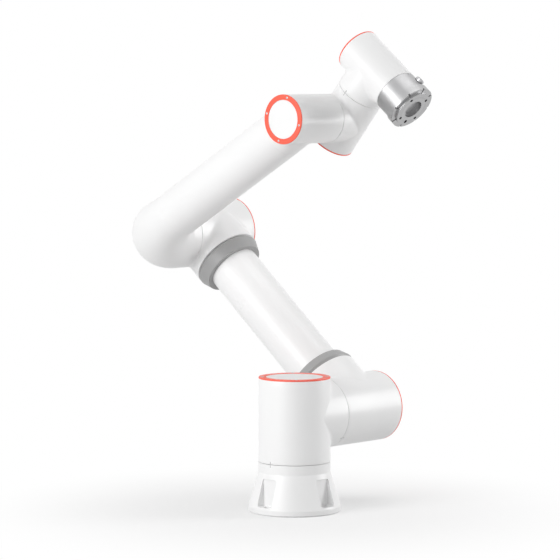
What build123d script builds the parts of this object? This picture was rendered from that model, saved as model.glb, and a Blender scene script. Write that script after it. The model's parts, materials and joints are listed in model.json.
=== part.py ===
from build123d import *
import os
from dataclasses import dataclass
from math import cos, radians, sin

# Six-axis collaborative robot arm. The origin is the centre of the base's mounting face, +Z is up,
# and the arm stands in its photographed pose: both arm tubes and wrist joints 2 and 3 lie in planes
# parallel to XZ, and the shoulder, elbow and wrist 1 axes run along Y.

# Pose: slopes above the horizontal, in degrees
upper_arm_rise = 40.4
forearm_rise = 30.3
wrist_2_rise = 50.6

# Lengths of the two arms between their joint axes, in millimetres
upper_arm_length = 425.0
forearm_length = 395.0

# Outside radii of the joint housings
base_radius = 57.5
shoulder_radius = 57.0
wrist_1_radius = 39.2
wrist_2_radius = 38.9
wrist_3_radius = 36.5

# Housing castings
large_wall = 5.0
small_wall = 3.6
branch_inset = 0.3
seam_gap = 0.6

# Cap rings and caps
ring_thickness = 2.4
large_ring_width = 11.6
small_ring_width = 8.3
cap_thickness = 4.0

# Arm tubes and the grey collars that clamp the upper one
upper_tube_radius = 42.5
forearm_tube_radius = 39.8
tube_wall = 3.0
collar_radius = 57.2
collar_nose_radius = 51.0
collar_land = 9.0
lower_collar_length = 20.0
upper_collar_length = 23.0
collar_spigot = 10.0
tube_insertion = 8.0

# Barrel left past each branch, first on the turning seam's side and then up to the cap
base_seam_land = 14.5
arm_seam_land = 8.0
wrist_1_seam_land = 8.9
wrist_2_seam_land = 13.2
base_cap_land = 6.3
shoulder_cap_land = 11.8
elbow_cap_land = 7.8
wrist_1_cap_land = 3.1
wrist_2_cap_land = 8.4
wrist_3_cap_land = 11.2

# Stations of the turning seams along each joint's own axis
base_seam = 80.0
column_clearance = 10.3
arm_seam = base_radius + column_clearance
wrist_1_seam = 54.2
wrist_2_seam = 52.3
wrist_3_seam = 53.7

# Planes of the two arm tubes, measured along Y from the base axis
upper_arm_plane = arm_seam + arm_seam_land + max(shoulder_radius, collar_radius)
forearm_plane = -4.5

# Distances between the joint axes and up to the caps, which follow from what lies between.
# A branch is as wide as its barrel or its end, whichever is wider.
shoulder_height = base_seam + base_seam_land + max(base_radius, shoulder_radius)
wrist_1_offset = wrist_1_seam + wrist_1_seam_land + wrist_2_radius
wrist_2_length = wrist_2_seam + wrist_2_seam_land + wrist_3_radius
base_cap = shoulder_height + max(base_radius, shoulder_radius) + base_cap_land
shoulder_cap = upper_arm_plane + max(shoulder_radius, collar_radius) + shoulder_cap_land
elbow_cap = upper_arm_plane + max(shoulder_radius, collar_radius) + elbow_cap_land
wrist_1_cap = max(wrist_1_radius, forearm_tube_radius) - forearm_plane + wrist_1_cap_land
wrist_2_cap = max(wrist_1_radius, wrist_2_radius) + wrist_2_cap_land
wrist_3_cap = max(wrist_2_radius, wrist_3_radius) + wrist_3_cap_land

# Stations of the collars along the upper arm
lower_collar_start = shoulder_radius + collar_land
lower_collar_end = lower_collar_start + lower_collar_length
upper_collar_end = upper_arm_length - shoulder_radius - collar_land
upper_collar_start = upper_collar_end - upper_collar_length

# Foot and its four bolt pockets
bolt_circle = 132.0
bolt_hole_radius = 4.5
bolt_margin = 4.0
bolt_head_room = 9.0
foot_radius = bolt_circle / 2 + bolt_hole_radius + bolt_margin
foot_rim = 9.0
foot_neck = 64.0
foot_edge = 2.0
floor_thickness = 7.0
foot_wall = 11.0
pocket_width = 30.0
pocket_wall_radius = bolt_circle / 2 - bolt_head_room
pocket_floor = 12.5
pocket_top = 56.0
pocket_corner = 4.0
foot_cavity_radius = pocket_wall_radius - foot_wall

# Supply connector on the back of the foot
inlet_bearing = 135.0
inlet_height = 38.0
inlet_recess = 34.0
inlet_seat = 58.0
inlet_plate = 33.0
inlet_plate_thickness = 3.0
inlet_barrel_radius = 11.0
inlet_barrel_length = 9.0
inlet_insert_radius = 8.5
inlet_insert_depth = 1.2

# Elbow casting: a bend that turns about a pivot at its inner corner
elbow_bend_radius = 17.0
elbow_land = 6.0
elbow_wall = 5.0
bend_steps = 8
elbow_hollow_depth = 32.0
forearm_hollow_depth = 38.0
elbow_passage_radius = 24.0
forearm_seam = shoulder_radius + elbow_bend_radius + elbow_land
forearm_branch_land = 7.2
wrist_1_branch = wrist_1_radius + forearm_branch_land

# Tool flange, after the standard 50 mm robot flange with M6 bolts: the holes have the core
# diameter of the thread, and the dowel hole between two of them is reamed to full size
flange_radius = wrist_3_radius
flange_side_length = 29.7
flange_rim_length = 12.5
flange_rim_width = 7.2
flange_face_step = 3.5
flange_face_margin = 6.5
flange_bore_radius = 15.75
flange_bore_depth = 8.0
flange_bolt_circle = 50.0
flange_bolt_radius = 2.5
flange_bolt_depth = 10.0
flange_bolt_turn = 45.0
dowel_radius = 3.0
dowel_turn = 180.0
flange_notches = 8
notch_width = 3.0
notch_depth = 2.0
flange_spigot_radius = flange_bolt_circle / 2 + flange_face_margin
flange_rim_radius = flange_spigot_radius + flange_rim_width
flange_root = wrist_3_seam + seam_gap
flange_rim_start = flange_root + flange_side_length
flange_step = flange_rim_start + flange_rim_length
wrist_3_length = flange_step + flange_face_step

# Tool connector on the side of the flange
connector_setback = 17.7
connector_turn = 22.0
connector_barrel_radius = 6.0
connector_nut_radius = 7.5
connector_depth = 11.5
connector_height = 5.0
connector_insert_radius = 4.6
connector_insert_depth = 1.0
connector_station = flange_root + connector_setback
connector_seat = flange_radius - connector_depth
connector_reach = flange_radius + connector_height

# Running and seating clearances
seat_fit = 0.1
running_fit = 0.4


@dataclass
class DriveSize:
    """Sizes shared by the motor, gear, rotor and output of one size of joint drive."""

    wall: float
    ring_width: float
    output_thickness: float
    gear_length: float
    motor_gap: float
    motor_length: float
    rotor_tail: float
    passage_radius: float
    shaft_radius: float
    magnet_radius: float
    hub_radius: float


large_drive = DriveSize(
    wall=large_wall,
    ring_width=large_ring_width,
    output_thickness=10.0,
    gear_length=30.0,
    motor_gap=8.0,
    motor_length=32.0,
    rotor_tail=34.0,
    passage_radius=14.0,
    shaft_radius=19.0,
    magnet_radius=28.0,
    hub_radius=31.0,
)
small_drive = DriveSize(
    wall=small_wall,
    ring_width=small_ring_width,
    output_thickness=8.0,
    gear_length=22.0,
    motor_gap=6.0,
    motor_length=24.0,
    rotor_tail=24.0,
    passage_radius=8.0,
    shaft_radius=12.0,
    magnet_radius=18.0,
    hub_radius=20.0,
)


@dataclass
class Joint:
    """One joint: its plane's Z axis runs along the joint axis, from the seam to the cap.

    The seat is the inside radius of the neighbouring piece, where the joint's output is fixed.
    """

    name: str
    plane: Plane
    radius: float
    seam: float
    cap: float
    seat: float
    drive: DriveSize

    @property
    def bore(self):
        """Inside radius of the housing, where the motor and gear are seated."""
        return self.radius - self.drive.wall

    @property
    def rim(self):
        """Station of the housing's end, under the cap ring."""
        return self.cap - ring_thickness

    @property
    def cap_radius(self):
        """Outside radius of the cap and inside radius of its ring."""
        return self.radius - self.drive.ring_width


# Directions and axis points that the lengths and the pose give
across = Vector(0, 1, 0)
upper_arm_way = Vector(-cos(radians(upper_arm_rise)), 0, sin(radians(upper_arm_rise)))
forearm_way = Vector(cos(radians(forearm_rise)), 0, sin(radians(forearm_rise)))
wrist_2_way = Vector(cos(radians(wrist_2_rise)), 0, sin(radians(wrist_2_rise)))
tool_way = Vector(sin(radians(wrist_2_rise)), 0, -cos(radians(wrist_2_rise)))
shoulder_point = Vector(0, 0, shoulder_height)
elbow_point = shoulder_point + upper_arm_way * upper_arm_length
wrist_1_point = elbow_point + forearm_way * forearm_length
wrist_2_point = wrist_1_point + across * wrist_1_offset
wrist_3_point = wrist_2_point + wrist_2_way * wrist_2_length


def branch_bore(barrel_radius, end_radius, wall):
    """Inside radius of a branch that narrows from its end to the barrel it grows from."""
    return min(barrel_radius - branch_inset, end_radius) - wall


base_joint = Joint(
    "base_joint",
    Plane.XY,
    base_radius,
    base_seam,
    base_cap,
    base_radius - large_wall,
    large_drive,
)
shoulder_joint = Joint(
    "shoulder_joint",
    Plane(origin=shoulder_point, x_dir=upper_arm_way, z_dir=across),
    shoulder_radius,
    arm_seam,
    shoulder_cap,
    branch_bore(base_radius, shoulder_radius, large_wall),
    large_drive,
)
elbow_joint = Joint(
    "elbow_joint",
    Plane(origin=elbow_point, x_dir=upper_arm_way, z_dir=across),
    shoulder_radius,
    arm_seam,
    elbow_cap,
    shoulder_radius - elbow_wall,
    large_drive,
)
wrist_1_joint = Joint(
    "wrist_1_joint",
    Plane(origin=wrist_1_point, x_dir=forearm_way, z_dir=-across),
    wrist_1_radius,
    -wrist_1_seam,
    wrist_1_cap,
    branch_bore(wrist_2_radius, wrist_1_radius, small_wall),
    small_drive,
)
wrist_2_joint = Joint(
    "wrist_2_joint",
    Plane(origin=wrist_2_point, x_dir=across, z_dir=-wrist_2_way),
    wrist_2_radius,
    -wrist_2_seam,
    wrist_2_cap,
    branch_bore(wrist_3_radius, wrist_2_radius, small_wall),
    small_drive,
)
wrist_3_joint = Joint(
    "wrist_3_joint",
    Plane(origin=wrist_3_point, x_dir=across, z_dir=-tool_way),
    wrist_3_radius,
    -wrist_3_seam,
    wrist_3_cap,
    flange_radius - small_wall,
    small_drive,
)
joints = [base_joint, shoulder_joint, elbow_joint, wrist_1_joint, wrist_2_joint, wrist_3_joint]

os.makedirs("parts", exist_ok=True)


def save(part, name):
    """Label a finished piece and write it."""
    part.label = name
    export_step(part, f"parts/{name}.step")


def tee_housing(joint, branch_plane, branch_length, branch_end_radius):
    """A cast joint housing: a barrel on the joint axis and a branch that leaves it sideways.

    The branch plane's origin lies on the joint axis, and its Z axis runs along the branch.
    """
    root_radius = joint.radius - branch_inset
    hollow_radius = branch_bore(joint.radius, branch_end_radius, joint.drive.wall)
    with BuildPart() as housing:
        with BuildSketch(joint.plane.offset(joint.seam)):
            Circle(joint.radius)
        extrude(amount=joint.rim - joint.seam)
        with BuildSketch(branch_plane):
            Circle(root_radius)
        with BuildSketch(branch_plane.offset(branch_length)):
            Circle(branch_end_radius)
        loft()
        with BuildSketch(joint.plane.offset(joint.seam)):
            Circle(joint.bore)
        extrude(amount=joint.rim - joint.seam, mode=Mode.SUBTRACT)
        with BuildSketch(branch_plane):
            Circle(hollow_radius)
        extrude(amount=branch_length, mode=Mode.SUBTRACT)
    return housing.part


# Foot: a flared casting with four open pockets for the mounting bolts
foot_top = base_seam - seam_gap
foot_seat = foot_top - large_drive.output_thickness
inlet_out = Vector(cos(radians(inlet_bearing)), sin(radians(inlet_bearing)), 0)
inlet_plane = Plane(origin=(0, 0, inlet_height), x_dir=(0, 0, 1), z_dir=inlet_out)
with BuildPart() as base_foot:
    with BuildSketch(Plane.XZ):
        with BuildLine():
            Polyline(
                (0, 0),
                (foot_radius, 0),
                (foot_radius, foot_rim),
                (base_radius, foot_neck),
                (base_radius, foot_top),
                (0, foot_top),
                close=True,
            )
        make_face()
    revolve(axis=Axis.Z)
    chamfer(base_foot.edges().filter_by(GeomType.CIRCLE).sort_by(Axis.Z)[0], foot_edge)
    with BuildSketch(Plane.XY.offset(foot_seat)):
        Circle(base_joint.seat)
    extrude(amount=large_drive.output_thickness, mode=Mode.SUBTRACT)
    with BuildSketch(Plane.XY.offset(floor_thickness)):
        Circle(foot_cavity_radius)
    extrude(amount=foot_seat - floor_thickness, mode=Mode.SUBTRACT)
    for bearing in range(0, 360, 90):
        pocket_out = Vector(cos(radians(bearing)), sin(radians(bearing)), 0)
        pocket_plane = Plane(origin=(0, 0, 0), x_dir=(0, 0, 1), z_dir=pocket_out)
        with BuildSketch(pocket_plane.offset(pocket_wall_radius)) as pocket:
            with Locations(((pocket_floor + pocket_top) / 2, 0)):
                Rectangle(pocket_top - pocket_floor, pocket_width)
            fillet(pocket.vertices().group_by(Axis.Z)[-1], pocket_corner)
        extrude(amount=foot_radius, mode=Mode.SUBTRACT)
    with BuildSketch(Plane.XY):
        with PolarLocations(bolt_circle / 2, 4):
            Circle(bolt_hole_radius)
    extrude(amount=pocket_floor, mode=Mode.SUBTRACT)
    with BuildSketch(inlet_plane.offset(inlet_seat)):
        Rectangle(inlet_recess, inlet_recess)
    extrude(amount=foot_radius, mode=Mode.SUBTRACT)
save(base_foot.part, "base_foot")

# Supply connector: a flange plate, a barrel and its contact insert
with BuildPart() as base_connector:
    with BuildSketch(inlet_plane.offset(inlet_seat)):
        RectangleRounded(inlet_plate, inlet_plate, pocket_corner)
    extrude(amount=inlet_plate_thickness)
    with BuildSketch(inlet_plane.offset(inlet_seat + inlet_plate_thickness)):
        Circle(inlet_barrel_radius)
    extrude(amount=inlet_barrel_length)
    with BuildSketch(base_connector.faces().sort_by(Axis(inlet_plane.origin, inlet_out))[-1]):
        Circle(inlet_insert_radius)
    extrude(amount=-inlet_insert_depth, mode=Mode.SUBTRACT)
save(base_connector.part, "base_connector")

# Shoulder housing: the upright column that turns on the foot, with the branch to the shoulder joint
shoulder_branch = Plane(origin=shoulder_point, x_dir=(1, 0, 0), z_dir=across)
shoulder_housing = tee_housing(
    base_joint, shoulder_branch, arm_seam - seam_gap, shoulder_radius
)
save(shoulder_housing, "shoulder_housing")

# The two joint housings of the upper arm, with their branches towards each other
lower_branch = Plane(
    origin=shoulder_point + across * upper_arm_plane, x_dir=across, z_dir=upper_arm_way
)
lower_housing = tee_housing(shoulder_joint, lower_branch, lower_collar_start, collar_radius)
save(lower_housing, "upper_arm_lower_housing")
upper_branch = Plane(
    origin=elbow_point + across * upper_arm_plane, x_dir=across, z_dir=-upper_arm_way
)
upper_housing = tee_housing(
    elbow_joint, upper_branch, lower_collar_start, collar_radius
)
save(upper_housing, "upper_arm_upper_housing")

# Grey collars: a conical nose round the tube and a spigot in the housing's branch
collar_bore = upper_tube_radius
spigot_radius = branch_bore(shoulder_radius, collar_radius, large_wall)
collar_layout = Plane(
    origin=shoulder_point + across * upper_arm_plane, x_dir=upper_arm_way, z_dir=across
)
collar_axis = Axis(shoulder_point + across * upper_arm_plane, upper_arm_way)


def collar(root, nose, spigot_end):
    """A collar whose root station meets the branch and whose nose station faces the tube."""
    with BuildPart() as sleeve:
        with BuildSketch(collar_layout):
            with BuildLine():
                Polyline(
                    (spigot_end, collar_bore),
                    (spigot_end, spigot_radius),
                    (root, spigot_radius),
                    (root, collar_radius),
                    (nose, collar_nose_radius),
                    (nose, collar_bore),
                    close=True,
                )
            make_face()
        revolve(axis=collar_axis)
    return sleeve.part


save(
    collar(lower_collar_start, lower_collar_end, lower_collar_start - collar_spigot),
    "lower_collar",
)
save(
    collar(upper_collar_end, upper_collar_start, upper_collar_end + collar_spigot),
    "upper_collar",
)

# Upper arm tube, held in both collars
with BuildPart() as upper_arm_tube:
    tube_low = lower_collar_start - tube_insertion
    tube_high = upper_collar_end + tube_insertion
    with BuildSketch(lower_branch.offset(tube_low)):
        Circle(upper_tube_radius)
        Circle(upper_tube_radius - tube_wall, mode=Mode.SUBTRACT)
    extrude(amount=tube_high - tube_low)
save(upper_arm_tube.part, "upper_arm_tube")

# Elbow casting: round sections turn about a pivot inside the bend, from the elbow joint's circle
# to the forearm tube's, in short ruled steps
bend_pivot = (
    elbow_point
    + forearm_way * (shoulder_radius + elbow_bend_radius)
    + across * (forearm_plane + forearm_tube_radius + elbow_bend_radius)
)
elbow_start = Plane(
    origin=elbow_point + across * (arm_seam - seam_gap), x_dir=-forearm_way, z_dir=-across
)
elbow_end = Plane(
    origin=elbow_point + forearm_way * forearm_seam + across * forearm_plane,
    x_dir=-across,
    z_dir=forearm_way,
)
bend_start = elbow_start.origin.Y - bend_pivot.Y


def bend_section(share):
    """Plane and radius of the bend's section at a share of its quarter turn."""
    turn = radians(90 * share)
    outward = forearm_way * -cos(turn) - across * sin(turn)
    onward = forearm_way * sin(turn) - across * cos(turn)
    eased = (1 - cos(2 * turn)) / 2
    section_radius = shoulder_radius + (forearm_tube_radius - shoulder_radius) * eased
    middle = bend_pivot + outward * (elbow_bend_radius + section_radius)
    return Plane(origin=middle, x_dir=outward, z_dir=onward), section_radius


with BuildPart() as elbow_casting:
    with BuildSketch(elbow_start):
        Circle(shoulder_radius)
    extrude(amount=bend_start)
    for step in range(bend_steps):
        for end in (step, step + 1):
            section_plane, section_radius = bend_section(end / bend_steps)
            with BuildSketch(section_plane):
                Circle(section_radius)
        loft(ruled=True)
    with BuildSketch(elbow_end):
        Circle(forearm_tube_radius)
    extrude(amount=-elbow_land)
    for mouth, hollow_radius, hollow_depth in (
        (elbow_start, elbow_joint.seat, elbow_hollow_depth),
        (elbow_start, elbow_passage_radius, elbow_start.origin.Y - forearm_plane),
        (elbow_end, forearm_tube_radius - elbow_wall, -forearm_hollow_depth),
        (elbow_end, elbow_passage_radius, -forearm_seam),
    ):
        with BuildSketch(mouth):
            Circle(hollow_radius)
        extrude(amount=hollow_depth, mode=Mode.SUBTRACT)
save(elbow_casting.part, "elbow_casting")

# Forearm tube, and the wrist 1 joint housing on its end
with BuildPart() as forearm_tube:
    with BuildSketch(elbow_end):
        Circle(forearm_tube_radius)
        Circle(forearm_tube_radius - tube_wall, mode=Mode.SUBTRACT)
    extrude(amount=forearm_length - wrist_1_branch - forearm_seam)
save(forearm_tube.part, "forearm_tube")

forearm_branch = Plane(
    origin=wrist_1_point + across * forearm_plane, x_dir=across, z_dir=-forearm_way
)
save(
    tee_housing(wrist_1_joint, forearm_branch, wrist_1_branch, forearm_tube_radius),
    "forearm_end_housing",
)

# Wrist housings: each carries one joint and reaches back to the joint before it
wrist_1_branch_plane = Plane(origin=wrist_2_point, x_dir=wrist_2_way, z_dir=-across)
save(
    tee_housing(
        wrist_2_joint,
        wrist_1_branch_plane,
        wrist_1_offset - wrist_1_seam - seam_gap,
        wrist_1_radius,
    ),
    "wrist_1_housing",
)
wrist_2_branch_plane = Plane(origin=wrist_3_point, x_dir=across, z_dir=-wrist_2_way)
save(
    tee_housing(
        wrist_3_joint,
        wrist_2_branch_plane,
        wrist_2_length - wrist_2_seam - seam_gap,
        wrist_2_radius,
    ),
    "wrist_2_housing",
)

# Tool flange: a turned metal body with the standard face, its bolt holes, dowel hole and bore
flange_layout = Plane(origin=wrist_3_point, x_dir=tool_way, z_dir=across)
tool_face_plane = Plane(
    origin=wrist_3_point + tool_way * wrist_3_length, x_dir=wrist_2_way, z_dir=tool_way
)
connector_out = wrist_2_way * cos(radians(connector_turn)) + across * sin(radians(connector_turn))
connector_plane = Plane(
    origin=wrist_3_point + tool_way * connector_station, x_dir=tool_way, z_dir=connector_out
)
with BuildPart() as tool_flange:
    with BuildSketch(flange_layout):
        with BuildLine():
            Polyline(
                (flange_root, 0),
                (flange_root, flange_radius),
                (flange_rim_start, flange_radius),
                (flange_rim_start, flange_rim_radius),
                (flange_step, flange_rim_radius),
                (flange_step, flange_spigot_radius),
                (wrist_3_length, flange_spigot_radius),
                (wrist_3_length, 0),
                close=True,
            )
        make_face()
    revolve(axis=Axis(wrist_3_point, tool_way))
    with BuildSketch(tool_face_plane.offset(flange_root - wrist_3_length)):
        Circle(wrist_3_joint.seat)
    extrude(amount=small_drive.output_thickness, mode=Mode.SUBTRACT)
    with BuildSketch(tool_face_plane):
        Circle(flange_bore_radius)
    extrude(amount=-flange_bore_depth, mode=Mode.SUBTRACT)
    with BuildSketch(tool_face_plane):
        with PolarLocations(flange_bolt_circle / 2, 4, start_angle=flange_bolt_turn):
            Circle(flange_bolt_radius)
        with PolarLocations(flange_bolt_circle / 2, 1, start_angle=dowel_turn):
            Circle(dowel_radius)
    extrude(amount=-flange_bolt_depth, mode=Mode.SUBTRACT)
    with BuildSketch(tool_face_plane.offset(-flange_face_step)):
        with PolarLocations((flange_spigot_radius + flange_rim_radius) / 2, flange_notches):
            Rectangle(flange_rim_radius - flange_spigot_radius + notch_width, notch_width)
        Circle(flange_spigot_radius, mode=Mode.SUBTRACT)
    extrude(amount=-notch_depth, mode=Mode.SUBTRACT)
    with BuildSketch(connector_plane.offset(connector_seat)):
        Circle(connector_barrel_radius)
    extrude(amount=flange_radius, mode=Mode.SUBTRACT)
save(tool_flange.part, "tool_flange")

# Tool connector: a barrel seated in the flange, its nut and its contact insert
with BuildPart() as tool_connector:
    with BuildSketch(connector_plane.offset(connector_seat)):
        Circle(connector_barrel_radius)
    extrude(amount=connector_reach - connector_seat)
    with BuildSketch(connector_plane.offset(flange_radius + seat_fit)):
        Circle(connector_nut_radius)
    extrude(amount=connector_reach - flange_radius - seat_fit - connector_insert_depth)
    with BuildSketch(connector_plane.offset(connector_reach)):
        Circle(connector_insert_radius)
    extrude(amount=-connector_insert_depth, mode=Mode.SUBTRACT)
save(tool_connector.part, "tool_connector")

# The six joints' own pieces: coral ring, cap, and the gear, motor, rotor and output inside
for joint in joints:
    drive = joint.drive
    gear_low = joint.seam
    gear_high = gear_low + drive.gear_length
    motor_low = gear_high + drive.motor_gap
    motor_high = motor_low + drive.motor_length
    output_high = joint.seam - seam_gap

    with BuildPart() as cap_ring:
        with BuildSketch(joint.plane.offset(joint.rim)):
            Circle(joint.radius)
            Circle(joint.cap_radius, mode=Mode.SUBTRACT)
        extrude(amount=ring_thickness)
    save(cap_ring.part, f"{joint.name}_ring")

    with BuildPart() as cap:
        with BuildSketch(joint.plane.offset(joint.cap - cap_thickness)):
            Circle(joint.cap_radius)
        extrude(amount=cap_thickness)
    save(cap.part, f"{joint.name}_cap")

    # Each inner piece is a flat-sided sleeve: low and high station, corner radius, bore clearance
    gear_part = [(gear_low, gear_high, joint.bore - seat_fit, drive.hub_radius + running_fit)]
    motor_part = [(motor_low, motor_high, joint.bore - seat_fit, drive.magnet_radius + running_fit)]
    rotor_part = [
        (gear_low, motor_low, drive.shaft_radius, drive.passage_radius),
        (motor_low, motor_high, drive.magnet_radius, drive.passage_radius),
        (motor_high, motor_high + drive.rotor_tail, drive.shaft_radius, drive.passage_radius),
    ]
    shaft_bore = drive.shaft_radius + running_fit
    output_part = [
        (output_high - drive.output_thickness, output_high, joint.seat - seat_fit, shaft_bore),
        (output_high, gear_high, drive.hub_radius, shaft_bore),
    ]
    inner_pieces = {"gear": gear_part, "motor": motor_part, "rotor": rotor_part, "output": output_part}
    for piece, steps in inner_pieces.items():
        with BuildPart() as sleeve:
            for low, high, outer, inner in steps:
                with BuildSketch(joint.plane.offset(low)):
                    RegularPolygon(outer, 24)
                    RegularPolygon(inner, 12, major_radius=False, mode=Mode.SUBTRACT)
                extrude(amount=high - low)
        save(sleeve.part, f"{joint.name}_{piece}")
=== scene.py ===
import json
from dataclasses import dataclass, replace
from math import acos, atan2, copysign, cos, pi, radians, sin, tan

import bmesh
import bpy
import numpy as np
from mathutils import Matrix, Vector


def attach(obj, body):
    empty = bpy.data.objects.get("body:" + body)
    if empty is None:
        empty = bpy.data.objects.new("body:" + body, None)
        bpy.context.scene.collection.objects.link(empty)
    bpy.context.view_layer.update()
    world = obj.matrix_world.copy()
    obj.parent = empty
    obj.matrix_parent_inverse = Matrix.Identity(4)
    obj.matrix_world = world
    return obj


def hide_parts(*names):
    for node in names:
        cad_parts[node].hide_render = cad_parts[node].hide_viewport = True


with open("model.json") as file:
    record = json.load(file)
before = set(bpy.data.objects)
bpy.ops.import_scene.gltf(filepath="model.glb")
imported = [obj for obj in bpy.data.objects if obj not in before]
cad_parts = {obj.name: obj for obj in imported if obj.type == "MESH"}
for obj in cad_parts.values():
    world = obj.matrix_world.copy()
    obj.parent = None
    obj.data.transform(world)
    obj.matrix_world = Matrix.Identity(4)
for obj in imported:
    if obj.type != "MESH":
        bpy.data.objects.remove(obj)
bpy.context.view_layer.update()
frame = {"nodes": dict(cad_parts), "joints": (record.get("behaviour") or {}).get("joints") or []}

# Six-axis collaborative robot arm, dressed over its frame. All lengths are in metres.

MM = 0.001

# Lengths and planes of the two arms
upper_arm_length = 425.0 * MM
forearm_length = 395.0 * MM
shoulder_height = 152.0 * MM
upper_arm_plane = 133.0 * MM
forearm_plane = -4.5 * MM
wrist_1_offset = 102.0 * MM
wrist_2_length = 102.0 * MM

# Outside radii
base_radius = 57.5 * MM
shoulder_radius = 57.0 * MM
wrist_1_radius = 39.2 * MM
wrist_2_radius = 38.9 * MM
wrist_3_radius = 36.5 * MM
collar_radius = 57.2 * MM
collar_nose_radius = 51.0 * MM
upper_tube_radius = 42.5 * MM
forearm_tube_radius = 39.8 * MM

# Stations of the turning seams and of the caps' faces, each along its own joint axis
base_seam = 80.0 * MM
arm_seam = 67.8 * MM
wrist_1_seam = 54.2 * MM
wrist_2_seam = 52.3 * MM
wrist_3_seam = 53.7 * MM
base_cap = 215.8 * MM
shoulder_cap = 202.0 * MM
elbow_cap = 198.0 * MM
wrist_1_cap = 47.4 * MM
wrist_2_cap = 47.6 * MM
wrist_3_cap = 50.1 * MM

# Where the branches and collars end, each from the joint axis that it leaves
housing_branch = 66.0 * MM
forearm_branch = 46.4 * MM
forearm_seam = 80.0 * MM
lower_collar_length = 20.0 * MM
upper_collar_length = 23.0 * MM

# Castings and their rims
large_wall = 5.0 * MM
small_wall = 3.6 * MM
seam_gap = 0.6 * MM
branch_inset = 0.3 * MM
edge_round = 0.45 * MM
elbow_bend_radius = 17.0 * MM
elbow_wall = 5.0 * MM

# Blends where a branch meets its barrel, and the share of the radius over which they set in
large_blend = 9.0 * MM
small_blend = 6.5 * MM
onset_run = 0.45

# Cap rings, caps and their screws
ring_thickness = 2.4 * MM
large_ring_width = 11.6 * MM
small_ring_width = 8.3 * MM
cap_thickness = 4.0 * MM
cap_fit = 0.15 * MM
cap_dome = 0.35 * MM
cap_lip = 0.4 * MM
large_screw_radius = 2.6 * MM
small_screw_radius = 1.9 * MM
screw_height = 0.5 * MM
screw_sink = 0.6 * MM
screws_in_ring = 4
screw_turn = radians(45)

# Zero marks: a short line on each side of a turning seam
mark_length = 4.2 * MM
mark_width = 0.7 * MM
mark_proud = 0.05 * MM
mark_depth = 0.5 * MM
shoulder_mark_bearing = radians(318)

# Grey collars
collar_chamfer = 3.4 * MM
collar_chamfer_run = 5.6 * MM
collar_root_gap = 0.05 * MM
collar_fit = 0.15 * MM

# Mesh fineness
around = 144
front_steps = 14
back_steps = 34
branch_steps = 14
round_steps = 4
elbow_steps = 44
dome_steps = 6
screw_around = 24
mark_steps = 4
front_span = radians(120)
row_easing = 1.5

# Camera at the photograph's viewing angle, from the fit of the joint circles
camera_place = (3.052417, -3.405596, 0.724593)
camera_azimuth = radians(42.16)
camera_drop = radians(4.43)
camera_lens = 185.16
camera_sensor = 36.0
camera_reach = 50.0

# Studio
floor_half = 3.0
floor_tone = 0.93
floor_bounce = 0.62
fade_start = 0.08
fade_end = 0.55
fade_least = 0.35
horizon_light = 0.42
zenith_light = 0.46
horizon_slope = -0.2
lamp_target = (-0.05, 0.05, 0.38)

joint_facts = {joint["name"]: joint for joint in frame["joints"]}


def joint_point(name):
    """A joint's point on its axis."""
    return np.array(joint_facts[name]["pos_m"], float)


def joint_axis(name):
    """A joint's unit axis."""
    axis = np.array(joint_facts[name]["axis"], float)
    return axis / np.linalg.norm(axis)


up = np.array([0.0, 0.0, 1.0])
across = np.array([0.0, 1.0, 0.0])
shoulder_point = joint_point("shoulder_joint")
elbow_point = joint_point("elbow_joint")
wrist_1_point = joint_point("wrist_1_joint")
wrist_2_point = joint_point("wrist_2_joint")
wrist_3_point = joint_point("wrist_3_joint")
upper_arm_way = (elbow_point - shoulder_point) / upper_arm_length
forearm_way = (wrist_1_point - elbow_point) / forearm_length
wrist_2_way = joint_axis("wrist_2_joint")
tool_way = joint_axis("wrist_3_joint")


# Helpers for places and meshes


def placed(origin, along, first):
    """A matrix whose Z runs along one direction and whose X runs along another, square to it."""
    z = np.array(along, float) / np.linalg.norm(along)
    x = np.array(first, float)
    x = x - z * x.dot(z)
    x = x / np.linalg.norm(x)
    matrix = np.eye(4)
    matrix[:3, 0] = x
    matrix[:3, 1] = np.cross(z, x)
    matrix[:3, 2] = z
    matrix[:3, 3] = origin
    return matrix


def carried(points, matrix):
    """Local points moved by a placing matrix."""
    points = np.asarray(points, float)
    return points @ matrix[:3, :3].T + matrix[:3, 3]


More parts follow.
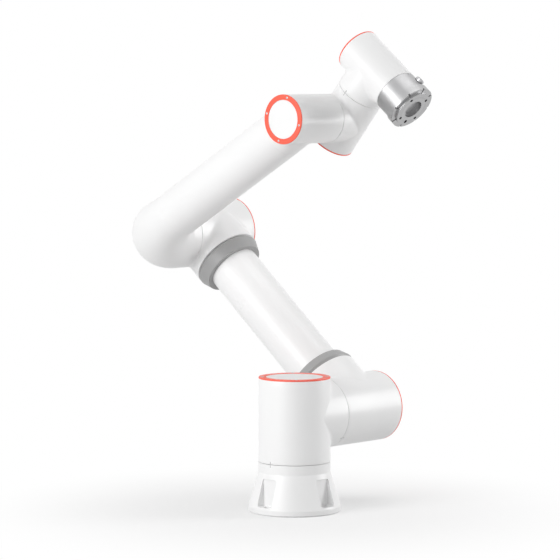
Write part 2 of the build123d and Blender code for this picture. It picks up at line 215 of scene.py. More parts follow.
class Builder:
    """Collects vertices and faces of one piece in its own local frame."""

    def __init__(self):
        self.points = []
        self.faces = []
        self.count = 0

    def add(self, points):
        """Adds points and returns their indices."""
        points = np.asarray(points, float).reshape(-1, 3)
        start = self.count
        self.points.append(points)
        self.count += len(points)
        return list(range(start, self.count))

    def add_skin(self, points, faces):
        """Adds a mesh and returns the index of its first point."""
        start = self.count
        self.add(points)
        self.faces += [tuple(i + start for i in face) for face in faces]
        return start

    def bridge(self, loop_a, loop_b, closed=True):
        """Quads between two rows of vertices."""
        count = len(loop_a)
        last = count if closed else count - 1
        for i in range(last):
            j = (i + 1) % count
            self.faces.append((loop_a[i], loop_a[j], loop_b[j], loop_b[i]))

    def fan(self, loop, middle):
        """Triangles from a loop to one vertex."""
        count = len(loop)
        for i in range(count):
            self.faces.append((loop[i], loop[(i + 1) % count], middle))

    def piece(
        self, name, matrix, material, body, slot, stands_for=(), sharp=32.0, weighted=True
    ):
        """Makes the object, gives it its material and lets it ride on a body."""
        points = carried(np.vstack(self.points), matrix)
        mesh = bpy.data.meshes.new(name)
        mesh.from_pydata([tuple(p) for p in points], [], self.faces)
        mesh.validate()
        face_outwards(mesh)
        mesh.polygons.foreach_set("use_smooth", [True] * len(mesh.polygons))
        mesh.set_sharp_from_angle(angle=radians(sharp))
        mesh.materials.append(material)
        piece = bpy.data.objects.new(name, mesh)
        bpy.context.scene.collection.objects.link(piece)
        if weighted:
            normals = piece.modifiers.new("normals", "WEIGHTED_NORMAL")
            normals.keep_sharp = True
        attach(piece, body)
        if stands_for:
            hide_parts(*stands_for)


def face_outwards(mesh):
    """Turns every face of each closed shell outwards."""
    work = bmesh.new()
    work.from_mesh(mesh)
    bmesh.ops.recalc_face_normals(work, faces=work.faces)
    work.to_mesh(mesh)
    work.free()


def unit(vector):
    """A vector of length one."""
    return vector / np.linalg.norm(vector)


def rounded(outline, radii):
    """A closed outline with each corner rounded by its own radius."""
    outline = [np.array(p, float) for p in outline]
    result = []
    for i, here in enumerate(outline):
        radius = radii[i]
        if radius <= 0:
            result.append(here)
            continue
        before = unit(outline[i - 1] - here)
        after = unit(outline[(i + 1) % len(outline)] - here)
        half = acos(max(-1.0, min(1.0, before.dot(after)))) / 2
        run = radius / tan(half)
        centre = here + unit(before + after) * radius / sin(half)
        start = here + before * run - centre
        end = here + after * run - centre
        turn = atan2(start[0] * end[1] - start[1] * end[0], start.dot(end))
        for k in range(round_steps + 1):
            a = turn * k / round_steps
            x = start[0] * cos(a) - start[1] * sin(a)
            y = start[0] * sin(a) + start[1] * cos(a)
            result.append(centre + np.array([x, y]))
    return result


def circle_loop(radius, height, count=around):
    """Points of a circle about the local Z axis."""
    angles = np.arange(count) * 2 * pi / count
    return np.stack([radius * np.cos(angles), radius * np.sin(angles), np.full(count, height)], axis=1)


def hexagon_loop(flat, height, count):
    """Points of a hexagon about local Z, spread so that they match a circle's points."""
    angles = np.arange(count) * 2 * pi / count
    within = (angles + pi / 6) % (pi / 3) - pi / 6
    radius = flat / np.cos(within)
    return np.stack([radius * np.cos(angles), radius * np.sin(angles), np.full(count, height)], axis=1)


def turned(builder, outline):
    """A solid of revolution about the local Z axis from a closed outline of (radius, height)."""
    loops = []
    for radius, height in outline:
        on_axis = radius < 1e-7
        loops.append(builder.add([(0, 0, height)] if on_axis else circle_loop(radius, height)))
    for a, b in zip(loops, loops[1:] + loops[:1]):
        if len(a) > 1 and len(b) > 1:
            builder.bridge(a, b)
        elif len(a) > 1:
            builder.fan(a, b[0])
        elif len(b) > 1:
            builder.fan(b, a[0])


# Procedural materials


def add_node(tree, kind, inputs=(), **settings):
    """A node with its settings made and with its inputs set or linked."""
    made = tree.nodes.new(kind)
    for key, value in settings.items():
        setattr(made, key, value)
    for key, value in dict(inputs).items():
        if isinstance(value, bpy.types.NodeSocket):
            tree.links.new(value, made.inputs[key])
        else:
            made.inputs[key].default_value = value
    return made


def grey(level, tint=0.0):
    """A grey of a given linear level, slightly cool or warm."""
    return (level, level, level * (1 + tint), 1.0)


class Nodes:
    """Short hand for building one node material."""

    sockets = {
        "colour": "Base Color",
        "rough": "Roughness",
        "metal": "Metallic",
        "coat": "Coat Weight",
        "coat_rough": "Coat Roughness",
    }

    def __init__(self, name):
        self.material = bpy.data.materials.new(name)
        self.material.use_nodes = True
        self.tree = self.material.node_tree
        self.shader = self.tree.nodes["Principled BSDF"]
        self.place = self.node("ShaderNodeTexCoord").outputs["Object"]

    def node(self, kind, inputs=(), **settings):
        """A node in this material's tree."""
        return add_node(self.tree, kind, inputs, **settings)

    def noise(self, scale, detail, rough=0.5):
        """Noise of a given number of waves per metre."""
        inputs = {"Scale": scale, "Detail": detail, "Roughness": rough, "Vector": self.place}
        return self.node("ShaderNodeTexNoise", inputs).outputs["Fac"]

    def line_noise(self, value, scale, detail):
        """Noise along one value, which makes lines."""
        inputs = {"Scale": scale, "Detail": detail, "Roughness": 0.5, "W": value}
        return self.node("ShaderNodeTexNoise", inputs, noise_dimensions="1D").outputs["Fac"]

    def spread(self, value, low, high, from_low, from_high):
        """A value moved from one range to another."""
        inputs = {0: value, 1: from_low, 2: from_high, 3: low, 4: high}
        return self.node("ShaderNodeMapRange", inputs).outputs[0]

    def sum(self, a, b):
        """Two values added."""
        return self.node("ShaderNodeMath", {0: a, 1: b}, operation="ADD").outputs[0]

    def times(self, value, factor):
        """A value taken a number of times."""
        return self.node("ShaderNodeMath", {0: value, 1: factor}, operation="MULTIPLY").outputs[0]

    def mix(self, share, a, b):
        """A colour between two colours."""
        return self.node("ShaderNodeMix", {0: share, 6: a, 7: b}, data_type="RGBA").outputs[2]

    def bump(self, height, strength, distance):
        """Bump from a height, linked to the shader."""
        inputs = {"Height": height, "Strength": strength, "Distance": distance}
        made = self.node("ShaderNodeBump", inputs)
        self.tree.links.new(made.outputs[0], self.shader.inputs["Normal"])

    def put(self, **values):
        """Sets or links the shader's own sockets."""
        for key, value in values.items():
            socket = self.shader.inputs[self.sockets[key]]
            if isinstance(value, bpy.types.NodeSocket):
                self.tree.links.new(value, socket)
            else:
                socket.default_value = value


def painted(name, light, dark, smooth, rough, peel, peel_strength):
    """Satin paint on a casting: fine orange peel, faint clouding and uneven gloss."""
    m = Nodes(name)
    clouds = m.noise(scale=7.0, detail=3.0)
    scuffs = m.noise(scale=38.0, detail=5.0, rough=0.65)
    worn = m.spread(scuffs, 0.0, 1.0, from_low=0.52, from_high=0.78)
    share = m.spread(clouds, 0.0, 1.0, from_low=0.35, from_high=0.7)
    gloss = m.spread(clouds, smooth, rough, from_low=0.3, from_high=0.7)
    m.put(colour=m.mix(share, grey(light), grey(dark)))
    m.put(rough=m.sum(gloss, m.times(worn, 0.05)), coat=0.12, coat_rough=0.25)
    m.bump(m.noise(scale=peel, detail=2.0), peel_strength, 0.12 * MM)
    return m.material


white_paint = painted("white_paint", 0.90, 0.875, 0.30, 0.40, peel=700.0, peel_strength=0.06)
tube_paint = painted("tube_paint", 0.90, 0.88, 0.27, 0.36, peel=900.0, peel_strength=0.04)
foot_paint = painted("foot_paint", 0.90, 0.87, 0.33, 0.44, peel=520.0, peel_strength=0.09)
collar_paint = painted("collar_paint", 0.37, 0.34, 0.40, 0.52, peel=620.0, peel_strength=0.1)


def moulded(name, light, dark, rough, grain, grain_strength):
    """Moulded plastic: a fine even grain, with a little colour drift and rubbed patches."""
    m = Nodes(name)
    drift = m.noise(scale=11.0, detail=2.0)
    rubbed = m.noise(scale=60.0, detail=4.0, rough=0.6)
    share = m.spread(drift, 0.0, 1.0, from_low=0.3, from_high=0.7)
    m.put(colour=m.mix(share, light, dark))
    m.put(rough=m.spread(rubbed, rough - 0.05, rough + 0.07, from_low=0.35, from_high=0.65))
    m.bump(m.noise(scale=grain, detail=3.0), grain_strength, 0.08 * MM)
    return m.material


coral_light = (0.98, 0.13, 0.075, 1.0)
coral_dark = (0.93, 0.105, 0.06, 1.0)
coral_plastic = moulded("coral_plastic", coral_light, coral_dark, 0.40, 1500.0, 0.07)
cap_plastic = moulded("cap_plastic", grey(0.89), grey(0.87), 0.38, 1300.0, 0.05)
mark_paint = moulded("mark_paint", grey(0.14), grey(0.19), 0.5, 2000.0, 0.03)


def machined(name, axis, centre, light, dark, rough, lines=5200.0):
    """Bare turned metal: fine tool lines round one axis, on its side and on its faces."""
    m = Nodes(name)
    offset_inputs = {0: m.place, 1: tuple(centre)}
    offset = m.node("ShaderNodeVectorMath", offset_inputs, operation="SUBTRACT").outputs[0]
    along_inputs = {0: offset, 1: tuple(axis)}
    station = m.node("ShaderNodeVectorMath", along_inputs, operation="DOT_PRODUCT").outputs["Value"]
    length = m.node("ShaderNodeVectorMath", {0: offset}, operation="LENGTH").outputs["Value"]
    line_place = m.sum(station, length)
    fine = m.line_noise(line_place, scale=lines, detail=2.0)
    broad = m.line_noise(line_place, scale=lines / 9, detail=2.0)
    smudge = m.noise(scale=45.0, detail=4.0, rough=0.6)
    tone = m.sum(m.times(fine, 0.5), m.times(broad, 0.5))
    share = m.spread(tone, 0.0, 1.0, from_low=0.3, from_high=0.7)
    gloss = m.spread(smudge, rough - 0.04, rough + 0.08, from_low=0.35, from_high=0.65)
    m.put(colour=m.mix(share, light, dark), metal=1.0)
    m.put(rough=m.sum(gloss, m.times(fine, 0.05)))
    m.bump(fine, 0.12, 0.05 * MM)
    return m.material


inlet_way = (-0.7071, 0.7071, 0.0)
frame_origin = (0.0, 0.0, 0.0)
flange_metal = machined("flange_metal", tool_way, wrist_3_point, grey(0.50, 0.01), grey(0.39, 0.01), 0.34)
plated_metal = machined("plated_metal", tool_way, wrist_3_point, grey(0.60, 0.02), grey(0.50, 0.02), 0.24)
screw_metal = machined("screw_metal", across, wrist_1_point, grey(0.58), grey(0.46), 0.30, lines=9000.0)
inlet_metal = machined("inlet_metal", inlet_way, frame_origin, grey(0.60), grey(0.48), 0.30)
drive_metal = machined("drive_metal", across, wrist_1_point, grey(0.45), grey(0.36), 0.38)

# Finishes of the frame's own nodes by the endings of their names, before pieces replace some of them
node_finish = {
    "_ring": coral_plastic,
    "_cap": cap_plastic,
    "_gear": drive_metal,
    "_output": drive_metal,
    "_motor": drive_metal,
    "_rotor": drive_metal,
    "_collar": collar_paint,
    "_tube": tube_paint,
    "tool_flange": flange_metal,
    "tool_connector": plated_metal,
    "base_connector": inlet_metal,
    "base_foot": foot_paint,
}
for node_name, node in frame["nodes"].items():
    finish = white_paint
    for ending, material in node_finish.items():
        if node_name.endswith(ending):
            finish = material
    node.data.materials.clear()
    node.data.materials.append(finish)


# T housings: a barrel on a joint axis, a branch that leaves it, and a soft blend between them


@dataclass
class Tee:
    """Sizes of one skin of a T housing, whose barrel runs along local Z and its branch along local X.

    The root is the branch's radius at the barrel's axis. Low and high are the stations of the
    barrel's seam end and cap end, and the length runs from its axis to the branch's end.
    """

    barrel: float
    root: float
    end: float
    length: float
    low: float
    high: float

    @property
    def slope(self):
        """Gain of the branch's radius along its length."""
        return (self.end - self.root) / self.length


@dataclass
class Skin:
    """A meshed skin of a T housing, with the loops at its three open ends."""

    points: np.ndarray
    faces: list
    high_loop: list
    low_loop: list
    branch_loop: list
    corners: tuple


def tee_rays(tee, hole_u, hole_z, corners):
    """Where the ray through each point of the branch's hole leaves the unrolled front rectangle.

    The corners are the numbers of the two rays that end at the rectangle's corners. The inner
    skin takes them from the outer one.
    """
    half_width = tee.barrel * front_span
    half_count = around // 2
    scale_u = half_width / np.maximum(np.abs(hole_u), 1e-9)
    scale_z = np.where(hole_z > 0, tee.high, tee.low) / np.where(np.abs(hole_z) < 1e-9, 1e-9, hole_z)
    if corners is None:
        angles = np.arctan2(hole_u[1:half_count], hole_z[1:half_count])
        top = 1 + int(np.argmin(np.abs(angles - atan2(half_width, tee.high))))
        bottom = 1 + int(np.argmin(np.abs(angles - atan2(half_width, tee.low))))
    else:
        top, bottom = corners
    out_u = np.zeros(around)
    out_z = np.zeros(around)
    for i in range(around):
        mirror = min(i, around - i)
        if top <= mirror <= bottom:
            out_u[i] = copysign(half_width, hole_u[i])
            out_z[i] = min(max(hole_z[i] * scale_u[i], tee.low), tee.high)
        else:
            out_u[i] = min(max(hole_u[i] * scale_z[i], -half_width), half_width)
            out_z[i] = tee.high if mirror < top else tee.low
        if mirror == top:
            out_z[i] = tee.high
        if mirror == bottom:
            out_z[i] = tee.low
    return out_u, out_z, (top, bottom)


def tee_skin(tee, blend, corners=None):
    """One skin of a T housing, meshed from the hole where its branch leaves the barrel."""
    thetas = np.arange(around) * 2 * pi / around
    starts = np.zeros(around)
    for _ in range(12):
        side_way = (tee.root + tee.slope * starts) * np.sin(thetas)
        starts = np.sqrt(np.maximum(tee.barrel**2 - side_way**2, 0.0))
    radius_there = tee.root + tee.slope * starts
    hole_z = radius_there * np.cos(thetas)
    hole_u = tee.barrel * np.arctan2(radius_there * np.sin(thetas), starts)
    out_u, out_z, (top, bottom) = tee_rays(tee, hole_u, hole_z, corners)
    builder = Builder()

    def on_barrel(u, z):
        angles = u / tee.barrel
        return np.stack([tee.barrel * np.cos(angles), tee.barrel * np.sin(angles), z], axis=1)

    # Front of the barrel, in rows from the hole out to the rectangle
    rows = []
    for k in range(front_steps + 1):
        share = (k / front_steps) ** row_easing
        u = hole_u + (out_u - hole_u) * share
        z = hole_z + (out_z - hole_z) * share
        rows.append(builder.add(on_barrel(u, z)))
    for a, b in zip(rows[:-1], rows[1:]):
        builder.bridge(a, b)

    # Back of the barrel, in columns from one side of the rectangle round to the other
    outer = rows[-1]
    side = list(range(top, bottom + 1))
    half_width = tee.barrel * front_span
    columns = [[outer[i] for i in side]]
    for m in range(1, back_steps):
        u = half_width + (2 * pi * tee.barrel - 2 * half_width) * m / back_steps
        columns.append(builder.add(on_barrel(np.full(len(side), u), out_z[side])))
    columns.append([outer[around - i] for i in side])
    for a, b in zip(columns[:-1], columns[1:]):
        builder.bridge(a, b, closed=False)
    high_loop = [outer[i % around] for i in range(around - top, around + top + 1)]
    high_loop += [columns[m][0] for m in range(1, back_steps)]
    low_loop = [outer[i] for i in range(bottom, around - bottom + 1)]
    low_loop += [columns[m][-1] for m in range(back_steps - 1, 0, -1)]

    # Branch, in rows from the hole to its end
    branch_rows = [rows[0]]
    for k in range(1, branch_steps + 1):
        x = starts + (tee.length - starts) * (k / branch_steps) ** row_easing
        r = tee.root + tee.slope * x
        branch_rows.append(builder.add(np.stack([x, r * np.sin(thetas), r * np.cos(thetas)], axis=1)))
    for a, b in zip(branch_rows[:-1], branch_rows[1:]):
        builder.bridge(b, a)
    points = np.vstack(builder.points)
    if blend > 0:
        movable = np.unique(np.concatenate(rows[:-1] + branch_rows[:-1]))
        points[movable] = blended(points[movable], tee, blend)
    return Skin(points, builder.faces, high_loop, low_loop, branch_rows[-1], (top, bottom))


def union_field(p, tee, blend):
    """Distance of points to a smooth union of the barrel and the branch."""
    from_axis = np.hypot(p[:, 0], p[:, 1])
    around_branch = np.hypot(p[:, 1], p[:, 2])
    to_barrel = from_axis - tee.barrel
    to_branch = np.maximum(around_branch - (tee.root + tee.slope * p[:, 0]), -p[:, 0])

    # The blend reaches less far where both surfaces face the same way
    facing = np.clip(p[:, 1] ** 2 / np.maximum(from_axis * around_branch, 1e-12), 0.0, 1.0)
    reach = 4 * blend * (1 - np.sqrt((1 + facing) / 2))

    # It stays clear of the barrel's ends
    room_high = max(tee.high - tee.root, 0.0)
    room_low = max(-tee.low - tee.root, 0.0)
    share = np.clip((1 + p[:, 2] / tee.root) / 2, 0.0, 1.0)
    room = room_low + (room_high - room_low) * share
    side = np.clip(np.abs(p[:, 1]) / tee.root, 0.0, 1.0) ** 2
    reach = np.minimum(reach, room + (4 * blend - room) * side)

    # It sets in gradually on the barrel's flank
    onset = np.clip(p[:, 0] / (onset_run * tee.root), 0.0, 1.0)
    reach = np.maximum(reach * onset**2 * (3 - 2 * onset), 1e-7)
    nearness = np.maximum(reach - np.abs(to_barrel - to_branch), 0.0) / reach
    return np.minimum(to_barrel, to_branch) - nearness**2 * reach / 4


def blended(points, tee, blend):
    """Points moved out to the smooth union, in a few steps along its slope."""
    moved = points.copy()
    step = 1e-6
    for _ in range(6):
        value = union_field(moved, tee, blend)
        slopes = np.stack(
            [
                (union_field(moved + d, tee, blend) - union_field(moved - d, tee, blend)) / (2 * step)
                for d in np.eye(3) * step
            ],
            axis=1,
        )
        size = np.maximum((slopes**2).sum(axis=1), 0.25)
        moved = moved - slopes * (value / size)[:, None]
    return moved


def tee_piece(name, matrix, tee, wall, blend, body):
    """A hollow T housing with rounded rims, standing for the frame's plain one."""
    outer_tee = replace(
        tee, length=tee.length - edge_round, low=tee.low + edge_round, high=tee.high - edge_round
    )
    bore = min(tee.root, tee.end) - wall - branch_inset
    inner_tee = replace(tee, barrel=tee.barrel - wall, root=bore, end=bore)
    outer = tee_skin(outer_tee, blend)
    inner = tee_skin(inner_tee, 0.0, outer.corners)
    builder = Builder()
    builder.add_skin(outer.points, outer.faces)
    inner_start = builder.add_skin(inner.points, inner.faces)
    rims = (
        (outer.high_loop, inner.high_loop, 2, 1.0),
        (outer.low_loop, inner.low_loop, 2, -1.0),
        (outer.branch_loop, inner.branch_loop, 0, 1.0),
    )
    for last, inner_loop, axis, sign in rims:
        if len(last) != len(inner_loop):
            raise ValueError(f"{name}: a rim's loops differ: {len(last)} and {len(inner_loop)}")
        base = outer.points[last]
        others = [i for i in range(3) if i != axis]
        spread = np.linalg.norm(base[:, others], axis=1)
        for k in range(1, round_steps + 1):
            turn = pi / 2 * k / round_steps
            shrink = (spread - edge_round * (1 - cos(turn))) / spread
            ring = base.copy()
            ring[:, others] = base[:, others] * shrink[:, None]
            ring[:, axis] = base[:, axis] + sign * edge_round * sin(turn)
            row = builder.add(ring)
            builder.bridge(last, row)
            last = row
        builder.bridge(last, [i + inner_start for i in inner_loop])
    builder.piece(
        f"{name}_skin", matrix, white_paint, body, "housing_white", (name,), sharp=50.0, weighted=False
    )


tee_piece(
    "shoulder_housing",
    placed(shoulder_point, up, across),
    Tee(
        barrel=base_radius,
        root=base_radius - branch_inset,
        end=shoulder_radius,
        length=arm_seam - seam_gap,
        low=base_seam - shoulder_height,
        high=base_cap - ring_thickness - shoulder_height,
    ),
    large_wall,
    large_blend,
    "shoulder",
)
upper_arm_sides = (
    ("upper_arm_lower_housing", shoulder_point, upper_arm_way, shoulder_cap),
    ("upper_arm_upper_housing", elbow_point, -upper_arm_way, elbow_cap),
)
for housing_name, joint_place, branch_way, joint_cap in upper_arm_sides:
    tee_piece(
        housing_name,
        placed(joint_place + across * upper_arm_plane, across, branch_way),
        Tee(
            barrel=shoulder_radius,
            root=shoulder_radius - branch_inset,
            end=collar_radius,
            length=housing_branch,
            low=arm_seam - upper_arm_plane,
            high=joint_cap - ring_thickness - upper_arm_plane,
        ),
        large_wall,
        large_blend,
        "upper_arm",
    )
tee_piece(
    "forearm_end_housing",
    placed(wrist_1_point + across * forearm_plane, -across, -forearm_way),
    Tee(
        barrel=wrist_1_radius,
        root=wrist_1_radius - branch_inset,
        end=forearm_tube_radius,
        length=forearm_branch,
        low=forearm_plane - wrist_1_seam,
        high=forearm_plane + wrist_1_cap - ring_thickness,
    ),
    small_wall,
    small_blend,
    "forearm",
)
tee_piece(
    "wrist_1_housing",
    placed(wrist_2_point, -wrist_2_way, -across),
    Tee(
        barrel=wrist_2_radius,
        root=wrist_2_radius - branch_inset,
        end=wrist_1_radius,
        length=wrist_1_offset - wrist_1_seam - seam_gap,
        low=-wrist_2_seam,
        high=wrist_2_cap - ring_thickness,
    ),
    small_wall,
    small_blend,
    "wrist_1",
)
tee_piece(
    "wrist_2_housing",
    placed(wrist_3_point, -tool_way, -wrist_2_way),
    Tee(
        barrel=wrist_3_radius,
        root=wrist_3_radius - branch_inset,
        end=wrist_2_radius,
        length=wrist_2_length - wrist_2_seam - seam_gap,
        low=-wrist_3_seam,
        high=wrist_3_cap - ring_thickness,
    ),
    small_wall,
    small_blend,
    "wrist_2",
)


# Elbow casting: sections that turn about a pivot inside the bend


def elbow_sections(shrink):
    """Middles, outward ways and radii of the sections, from the joint's seam to the forearm's."""
    pivot_station = forearm_plane + forearm_tube_radius + elbow_bend_radius
    pivot = elbow_point + forearm_way * (shoulder_radius + elbow_bend_radius) + across * pivot_station
    start = elbow_point + across * (arm_seam - seam_gap)
    end = elbow_point + forearm_way * forearm_seam + across * forearm_plane
    sections = [(start, -forearm_way, shoulder_radius - shrink)]
    for k in range(elbow_steps + 1):
        turn = pi / 2 * k / elbow_steps
        outward = forearm_way * -cos(turn) - across * sin(turn)
        eased = (1 - cos(2 * turn)) / 2
        radius = shoulder_radius + (forearm_tube_radius - shoulder_radius) * eased
        sections.append((pivot + outward * (elbow_bend_radius + radius), outward, radius - shrink))
    sections.append((end, -across, forearm_tube_radius - shrink))
    return sections


def elbow_rings(shrink, setback):
    """Rings of points of one skin, with its two end rings set back to leave room for the rims."""
    side = np.cross(forearm_way, across)
    angles = np.arange(around) * 2 * pi / around
    rings = []
    for middle, outward, radius in elbow_sections(shrink):
        ring_way = np.cos(angles)[:, None] * outward + np.sin(angles)[:, None] * side
        rings.append(middle + radius * ring_way)
    rings[0] = rings[0] - across * setback
    rings[-1] = rings[-1] - forearm_way * setback
    return rings


def elbow_piece():
    """The elbow casting's smooth outer and inner skins and its two rounded rims."""
    builder = Builder()
    outer_rings = elbow_rings(0.0, edge_round)
    outer = [builder.add(ring) for ring in outer_rings]
    inner = [builder.add(ring) for ring in elbow_rings(elbow_wall, 0.0)]
    for loops in (outer, inner):
        for a, b in zip(loops[:-1], loops[1:]):
            builder.bridge(a, b)
    for end, onward in ((0, across), (-1, forearm_way)):
        last = outer[end]
        rim = outer_rings[end]
        spokes = rim - rim.mean(axis=0)
        outwards = spokes / np.linalg.norm(spokes, axis=1)[:, None]
        for k in range(1, round_steps + 1):
            turn = pi / 2 * k / round_steps
            inwards = outwards * edge_round * (1 - cos(turn))
            row = builder.add(rim - inwards + onward * edge_round * sin(turn))
            builder.bridge(last, row)
            last = row
        builder.bridge(last, inner[end])
    builder.piece(
        "elbow_casting_skin",
        np.eye(4),
        white_paint,
        "forearm",
        "housing_white",
        ("elbow_casting",),
        sharp=50.0,
        weighted=False,
    )


elbow_piece()


# Cap rings, caps, screws and zero marks of the six joints


@dataclass
class JointSide:
    """One joint's housing, with its stations along the joint axis from the seam to the cap.

    The screws are counted from the first way, and the zero mark lies in the mark way.
    """

    name: str
    point: np.ndarray
    axis: np.ndarray
    first_way: np.ndarray
    mark_way: np.ndarray
    radius: float
    seam: float
    cap: float
    body: str
    far_body: str
    ring_width: float
    screw_radius: float

    @property
    def place(self):
        """Where the cap end's pieces are placed."""
        return placed(self.point, self.axis, self.first_way)

    @property
    def cap_radius(self):
        """Outside radius of the cap's seat and inside radius of its ring."""
        return self.radius - self.ring_width


shoulder_mark_way = np.array([cos(shoulder_mark_bearing), 0.0, sin(shoulder_mark_bearing)])
large_ring = {"ring_width": large_ring_width, "screw_radius": large_screw_radius}
small_ring = {"ring_width": small_ring_width, "screw_radius": small_screw_radius}
joint_sides = (
    JointSide(
        name="base_joint",
        point=np.zeros(3),
        axis=up,
        first_way=across,
        mark_way=-across,
        radius=base_radius,
        seam=base_seam,
        cap=base_cap,
        body="shoulder",
        far_body="base",
        **large_ring,
    ),
    JointSide(
        name="shoulder_joint",
        point=shoulder_point,
        axis=across,
        first_way=upper_arm_way,
        mark_way=shoulder_mark_way,
        radius=shoulder_radius,
        seam=arm_seam,
        cap=shoulder_cap,
        body="upper_arm",
        far_body="shoulder",
        **large_ring,
    ),
    JointSide(
        name="elbow_joint",
        point=elbow_point,
        axis=across,
        first_way=upper_arm_way,
        mark_way=upper_arm_way,
        radius=shoulder_radius,
        seam=arm_seam,
        cap=elbow_cap,
        body="upper_arm",
        far_body="forearm",
        **large_ring,
    ),
    JointSide(
        name="wrist_1_joint",
        point=wrist_1_point,
        axis=-across,
        first_way=forearm_way,
        mark_way=-up,
        radius=wrist_1_radius,
        seam=-wrist_1_seam,
        cap=wrist_1_cap,
        body="forearm",
        far_body="wrist_1",
        **small_ring,
    ),
    JointSide(
        name="wrist_2_joint",
        point=wrist_2_point,
        axis=-wrist_2_way,
        first_way=across,
        mark_way=-across,
        radius=wrist_2_radius,
        seam=-wrist_2_seam,
        cap=wrist_2_cap,
        body="wrist_1",
        far_body="wrist_2",
        **small_ring,
    ),
    JointSide(
        name="wrist_3_joint",
        point=wrist_3_point,
        axis=-tool_way,
        first_way=across,
        mark_way=wrist_2_way,
        radius=wrist_3_radius,
        seam=-wrist_3_seam,
        cap=wrist_3_cap,
        body="wrist_2",
        far_body="tool",
        **small_ring,
    ),
)


def ring_piece(joint):
    """The coral ring round a cap, with a soft outer edge."""
    rim = joint.cap - ring_thickness
    outline = [
        (joint.cap_radius, rim),
        (joint.radius, rim),
        (joint.radius, joint.cap),
        (joint.cap_radius, joint.cap),
    ]
    builder = Builder()
    turned(builder, rounded(outline, [0.1 * MM, 0.3 * MM, 0.9 * MM, 0.35 * MM]))
    node = f"{joint.name}_ring"
    builder.piece(f"{node}_part", joint.place, coral_plastic, joint.body, "ring_coral", (node,))


def cap_piece(joint):
    """A cap that is set a little into its ring and rises to a very flat dome."""
    edge = joint.cap_radius - cap_fit
    crown = edge - 0.8 * MM
    top = joint.cap - cap_lip
    outline = [
        (0, joint.cap - cap_thickness),
        (edge, joint.cap - cap_thickness),
        (edge, top - 0.5 * MM),
        (edge - 0.25 * MM, top - 0.15 * MM),
        (crown, top),
    ]
    for k in range(1, dome_steps + 1):
        share = k / dome_steps
        outline.append((crown * (1 - share), top + cap_dome * sin(share * pi / 2)))
    builder = Builder()
    turned(builder, outline)
    node = f"{joint.name}_cap"
    builder.piece(f"{node}_part", joint.place, cap_plastic, joint.body, "cap_white", (node,))


def add_screw(builder, matrix, radius):
    """A low button head with a hexagon socket."""
    head = (
        (1.0, -screw_sink),
        (1.0, 0.25 * screw_height),
        (0.86, 0.75 * screw_height),
        (0.62, screw_height),
    )
    socket_radius = 0.5 * radius
    socket_floor = 0.1 * screw_height
    rings = [circle_loop(radius * share, height, screw_around) for share, height in head]
    rings.append(hexagon_loop(socket_radius, screw_height, screw_around))
    rings.append(hexagon_loop(0.94 * socket_radius, socket_floor, screw_around))
    loops = [builder.add(carried(ring, matrix)) for ring in rings]
    for a, b in zip(loops[:-1], loops[1:]):
        builder.bridge(a, b)
    for loop, height in ((loops[-1], socket_floor), (loops[0], -screw_sink)):
        builder.fan(loop, builder.add(carried([(0, 0, height)], matrix))[0])


def screws_piece(joint):
    """The screws that hold a ring and its cap, in the middle of the ring's width."""
    circle = joint.radius - joint.ring_width / 2
    builder = Builder()
    for k in range(screws_in_ring):
        turn = screw_turn + 2 * pi * k / screws_in_ring
        local = np.eye(4)
        local[:3, 3] = (circle * cos(turn), circle * sin(turn), joint.cap)
        add_screw(builder, local, joint.screw_radius)
    builder.piece(
        f"{joint.name}_cap_screws", joint.place, screw_metal, joint.body, "connector_metal", weighted=False
    )


def zero_mark(name, joint, low, high, body):
    """A thin painted line along the barrel, from one station to another."""
    builder = Builder()
    rows = []
    for r in (joint.radius - mark_depth, joint.radius + mark_proud):
        turns = (np.arange(mark_steps + 1) / mark_steps - 0.5) * mark_width / joint.radius
        for z in (low, high):
            points = [r * np.cos(turns), r * np.sin(turns), np.full(len(turns), z)]
            rows.append(builder.add(np.stack(points, axis=1)))
    inside_low, inside_high, out_low, out_high = rows
    loop = [inside_low, out_low, out_high, inside_high]
    for a, b in zip(loop, loop[1:] + loop[:1]):
        builder.bridge(a, b, closed=False)
    for end in (0, -1):
        builder.faces.append(tuple(row[end] for row in loop))
    place = placed(joint.point, joint.axis, joint.mark_way)
    builder.piece(name, place, mark_paint, body, "collar_grey", weighted=False)


for joint in joint_sides:
    ring_piece(joint)
    cap_piece(joint)
    screws_piece(joint)

for joint in joint_sides:
    near = joint.seam + edge_round
    far = joint.seam - seam_gap - edge_round
    zero_mark(f"{joint.name}_zero_mark", joint, near, near + mark_length, joint.body)
    zero_mark(f"{joint.name}_zero_index", joint, far - mark_length, far, joint.far_body)


# Grey collars: a bevelled shoulder on the housing side and a cone down to the tube


def collar_piece(name, station, way, length):
    """A collar whose root is at a station along the upper arm and whose nose points along a way."""
    middle = shoulder_point + across * upper_arm_plane + upper_arm_way * station
    bore = upper_tube_radius + collar_fit
    outline = [
        (bore, collar_root_gap),
        (collar_radius - collar_chamfer, collar_root_gap),
        (collar_radius, collar_chamfer_run),
        (collar_nose_radius, length),
        (bore, length),
    ]
    builder = Builder()
    turned(builder, rounded(outline, [0.0, 0.4 * MM, 0.9 * MM, 0.8 * MM, 0.5 * MM]))
    place = placed(middle, way, across)
    builder.piece(f"{name}_part", place, collar_paint, "upper_arm", "collar_grey", (name,))


collar_piece("lower_collar", housing_branch, upper_arm_way, lower_collar_length)
collar_piece("upper_collar", upper_arm_length - housing_branch, -upper_arm_way, upper_collar_length)

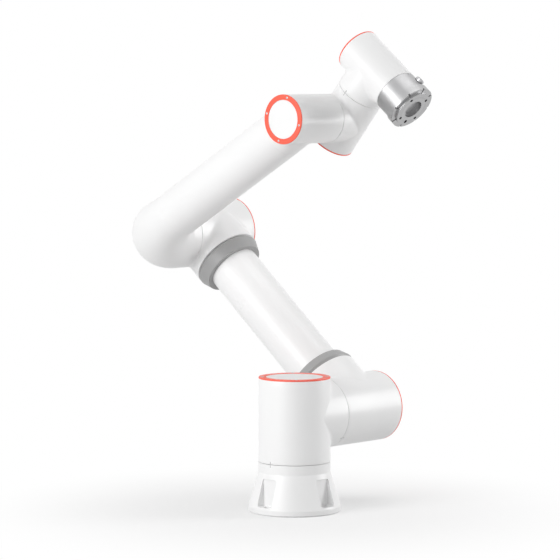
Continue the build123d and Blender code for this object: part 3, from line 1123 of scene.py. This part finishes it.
# Softer edges on the frame's foot, flange and inlet
soft_edges = {"base_foot": 0.9 * MM, "tool_flange": 0.35 * MM, "base_connector": 0.4 * MM}
for node_name, width in soft_edges.items():
    node = frame["nodes"][node_name]
    node.data.polygons.foreach_set("use_smooth", [True] * len(node.data.polygons))
    bevel = node.modifiers.new("edges", "BEVEL")
    bevel.width = width
    bevel.segments = 3
    bevel.limit_method = "ANGLE"
    bevel.angle_limit = radians(35)
    bevel.use_clamp_overlap = True
    normals = node.modifiers.new("normals", "WEIGHTED_NORMAL")
    normals.keep_sharp = False


# Studio: pale floor, white surroundings and soft lamps


def background_ray(tree):
    """1 for the rays that show the background: the camera's own, and mirrored or clear ones."""
    rays = add_node(tree, "ShaderNodeLightPath")
    found = rays.outputs["Is Camera Ray"]
    for kind in ("Is Glossy Ray", "Is Transmission Ray"):
        either = add_node(tree, "ShaderNodeMath", {0: found, 1: rays.outputs[kind]}, operation="MAXIMUM")
        found = either.outputs[0]
    return found


def smooth_range(tree, value, from_low, from_high, low, high):
    """A value moved smoothly from one range to another."""
    inputs = {0: value, 1: from_low, 2: from_high, 3: low, 4: high}
    made = add_node(tree, "ShaderNodeMapRange", inputs, interpolation_type="SMOOTHSTEP")
    return made.outputs[0]


def floor_material():
    """A pale floor that keeps the object's shadow and fades to white away from it."""
    material = bpy.data.materials.new("pale_floor")
    material.use_nodes = True
    tree = material.node_tree
    tree.nodes.clear()
    open_ray = background_ray(tree)
    tones = {0: open_ray, 6: grey(floor_bounce), 7: grey(floor_tone)}
    tone = add_node(tree, "ShaderNodeMix", tones, data_type="RGBA").outputs[2]
    diffuse = add_node(tree, "ShaderNodeBsdfDiffuse", {"Color": tone}).outputs[0]
    glow = add_node(tree, "ShaderNodeEmission", {"Color": grey(1.0)}).outputs[0]
    place = add_node(tree, "ShaderNodeNewGeometry").outputs["Position"]
    distance = add_node(tree, "ShaderNodeVectorMath", {0: place}, operation="LENGTH").outputs["Value"]
    fade = smooth_range(tree, distance, fade_start, fade_end, fade_least, 1.0)
    share = add_node(tree, "ShaderNodeMath", {0: fade, 1: open_ray}, operation="MULTIPLY").outputs[0]
    surface = add_node(tree, "ShaderNodeMixShader", {0: share, 1: diffuse, 2: glow}).outputs[0]
    add_node(tree, "ShaderNodeOutputMaterial", {"Surface": surface})
    return material


def studio_world():
    """Even soft light from all round, and plain white where the background shows."""
    world = bpy.data.worlds.new("studio")
    world.use_nodes = True
    tree = world.node_tree
    tree.nodes.clear()
    heading = add_node(tree, "ShaderNodeTexCoord").outputs["Generated"]
    height = add_node(tree, "ShaderNodeSeparateXYZ", {0: heading}).outputs["Z"]
    strength = smooth_range(tree, height, horizon_slope, 1.0, horizon_light, zenith_light)
    light = add_node(tree, "ShaderNodeBackground", {"Color": grey(1.0), "Strength": strength}).outputs[0]
    white = add_node(tree, "ShaderNodeBackground", {"Color": grey(1.0), "Strength": 1.0}).outputs[0]
    shares = {0: background_ray(tree), 1: light, 2: white}
    surface = add_node(tree, "ShaderNodeMixShader", shares).outputs[0]
    add_node(tree, "ShaderNodeOutputWorld", {"Surface": surface})
    return world


def lamp(name, place, width, height, power):
    """A rectangular soft lamp aimed at the middle of the arm."""
    data = bpy.data.lights.new(name, "AREA")
    data.shape = "RECTANGLE"
    data.size = width
    data.size_y = height
    data.energy = power
    made = bpy.data.objects.new(name, data)
    bpy.context.scene.collection.objects.link(made)
    made.location = place
    made.rotation_mode = "QUATERNION"
    made.rotation_quaternion = (Vector(lamp_target) - Vector(place)).to_track_quat("-Z", "Y")


floor_mesh = bpy.data.meshes.new("floor")
floor_signs = ((-1, -1), (1, -1), (1, 1), (-1, 1))
floor_corners = [(x * floor_half, y * floor_half, 0.0) for x, y in floor_signs]
floor_mesh.from_pydata(floor_corners, [], [(0, 1, 2, 3)])
floor_mesh.materials.append(floor_material())
floor = bpy.data.objects.new("floor", floor_mesh)
bpy.context.scene.collection.objects.link(floor)
bpy.context.scene.world = studio_world()

lamp("key", (-0.35, -2.75, 0.95), width=1.7, height=1.4, power=50.0)
lamp("back_right", (1.6, 2.0, 0.9), width=1.0, height=1.6, power=30.0)
lamp("top", (0.0, 0.4, 2.6), width=1.8, height=1.8, power=10.0)

camera_data = bpy.data.cameras.new("photo_view")
camera_data.lens = camera_lens
camera_data.sensor_width = camera_sensor
camera_data.clip_end = camera_reach
camera = bpy.data.objects.new("photo_view", camera_data)
bpy.context.scene.collection.objects.link(camera)
camera.location = camera_place
camera.rotation_euler = (pi / 2 - camera_drop, 0, camera_azimuth)
bpy.context.scene.camera = camera
bpy.context.scene.view_settings.view_transform = "Standard"
